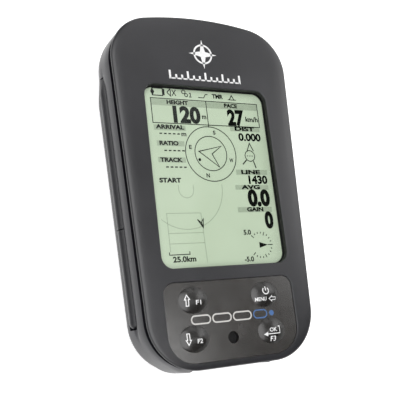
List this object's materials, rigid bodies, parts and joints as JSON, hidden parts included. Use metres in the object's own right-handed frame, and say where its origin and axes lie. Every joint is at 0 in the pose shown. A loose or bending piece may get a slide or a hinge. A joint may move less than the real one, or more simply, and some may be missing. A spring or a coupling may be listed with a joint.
{
  "type": "portable aviation gps",
  "caption": "Hand-held satellite flight instrument with a tall green display, domed keys, side grips, a hinged port door and a lanyard bar.",
  "frame": {"origin": "middle of the bounding box's footprint, on the plane that the back rests on", "axes": "+Z out of the screen, +Y to the antenna end, +X to the right of the screen seen from the front"},
  "size_m": [0.0834, 0.1463, 0.026],
  "materials": {
    "front_plastic": "satin moulded",
    "rear_plastic": "fine spark-eroded texture",
    "seal_rubber": "matte",
    "trim_black": "matte",
    "lens": "clear, slightly reflective",
    "display": "pale green reflective display",
    "diffuser": "white acrylic",
    "frame_steel": "tinned",
    "ribbon": "polyimide film",
    "connector_plastic": "natural nylon",
    "keypad_film": "satin printed film",
    "key_film": "satin domed film",
    "circuit_board": "solder mask",
    "switch_steel": "bright",
    "screw_steel": "zinc plated",
    "foam": "closed-cell foam",
    "membrane": "fine mesh",
    "chip_black": "moulded epoxy",
    "antenna_ceramic": "fired, silvered top",
    "socket_steel": "nickel plated",
    "card_plastic": "moulded",
    "battery_wrap": "heat-shrink film",
    "wire_red": "insulated wire",
    "grip_rubber": "satin rubber",
    "pin_steel": "ground stainless",
    "case_screw_steel": "black zinc",
    "insert_brass": "knurled",
    "label_film": "silver polyester"
  },
  "bodies": {
    "case": {"front_shell": "front_plastic", "rear_shell": "rear_plastic", "seal_gasket": "seal_rubber", "window_trim": "trim_black", "display_lens": "lens", "lcd_panel": "display", "lcd_backlight": "diffuser", "lcd_frame": "frame_steel", "display_ribbon": "ribbon", "display_connector": "connector_plastic", "keypad_overlay": "keypad_film", "keypad_board": "circuit_board", "dome_switches": "switch_steel", "keypad_screws": "screw_steel", "sounder": "trim_black", "sounder_seal": "foam", "vent_membrane": "membrane", "main_board": "circuit_board", "board_screws": "screw_steel", "processor": "chip_black", "gps_module": "frame_steel", "gps_antenna": "antenna_ceramic", "pressure_sensor": "frame_steel", "backup_cell": "frame_steel", "usb_socket": "socket_steel", "card_socket": "socket_steel", "battery_pack": "battery_wrap", "battery_pad": "foam", "battery_leads": "wire_red", "battery_connector": "connector_plastic", "left_grip": "grip_rubber", "right_grip": "grip_rubber", "door_hinge_pin": "pin_steel", "lanyard_bar": "pin_steel", "case_screws": "case_screw_steel", "screw_inserts": "insert_brass", "rating_label": "label_film"},
    "key_up_body": {"key_up": "key_film"},
    "key_down_body": {"key_down": "key_film"},
    "key_menu_body": {"key_menu": "key_film"},
    "key_enter_body": {"key_enter": "key_film"},
    "port_door_body": {"port_door": "grip_rubber"},
    "memory_card_body": {"memory_card": "card_plastic"}
  },
  "joints": [
    {"name": "key_up_press", "type": "slide", "parent": "case", "child": "key_up_body", "axis": [0, 0, -1], "range_m": [0, 0.0005], "stiffness_N_per_m": 3000, "springref_m": -0.0002},
    {"name": "key_down_press", "type": "slide", "parent": "case", "child": "key_down_body", "axis": [0, 0, -1], "range_m": [0, 0.0005], "stiffness_N_per_m": 3000, "springref_m": -0.0002},
    {"name": "key_menu_press", "type": "slide", "parent": "case", "child": "key_menu_body", "axis": [0, 0, -1], "range_m": [0, 0.0005], "stiffness_N_per_m": 3000, "springref_m": -0.0002},
    {"name": "key_enter_press", "type": "slide", "parent": "case", "child": "key_enter_body", "axis": [0, 0, -1], "range_m": [0, 0.0005], "stiffness_N_per_m": 3000, "springref_m": -0.0002},
    {"name": "port_door_hinge", "type": "hinge", "parent": "case", "child": "port_door_body", "pos_m": [-0.0353, -0.05193, 0.0097], "axis": [0, 0, 1], "range_deg": [0, 90]},
    {"name": "memory_card_push", "type": "slide", "parent": "case", "child": "memory_card_body", "axis": [0.9993, 0.0385, 0], "range_m": [0, 0.0008], "stiffness_N_per_m": 1500, "springref_m": -0.0003}
  ]
}
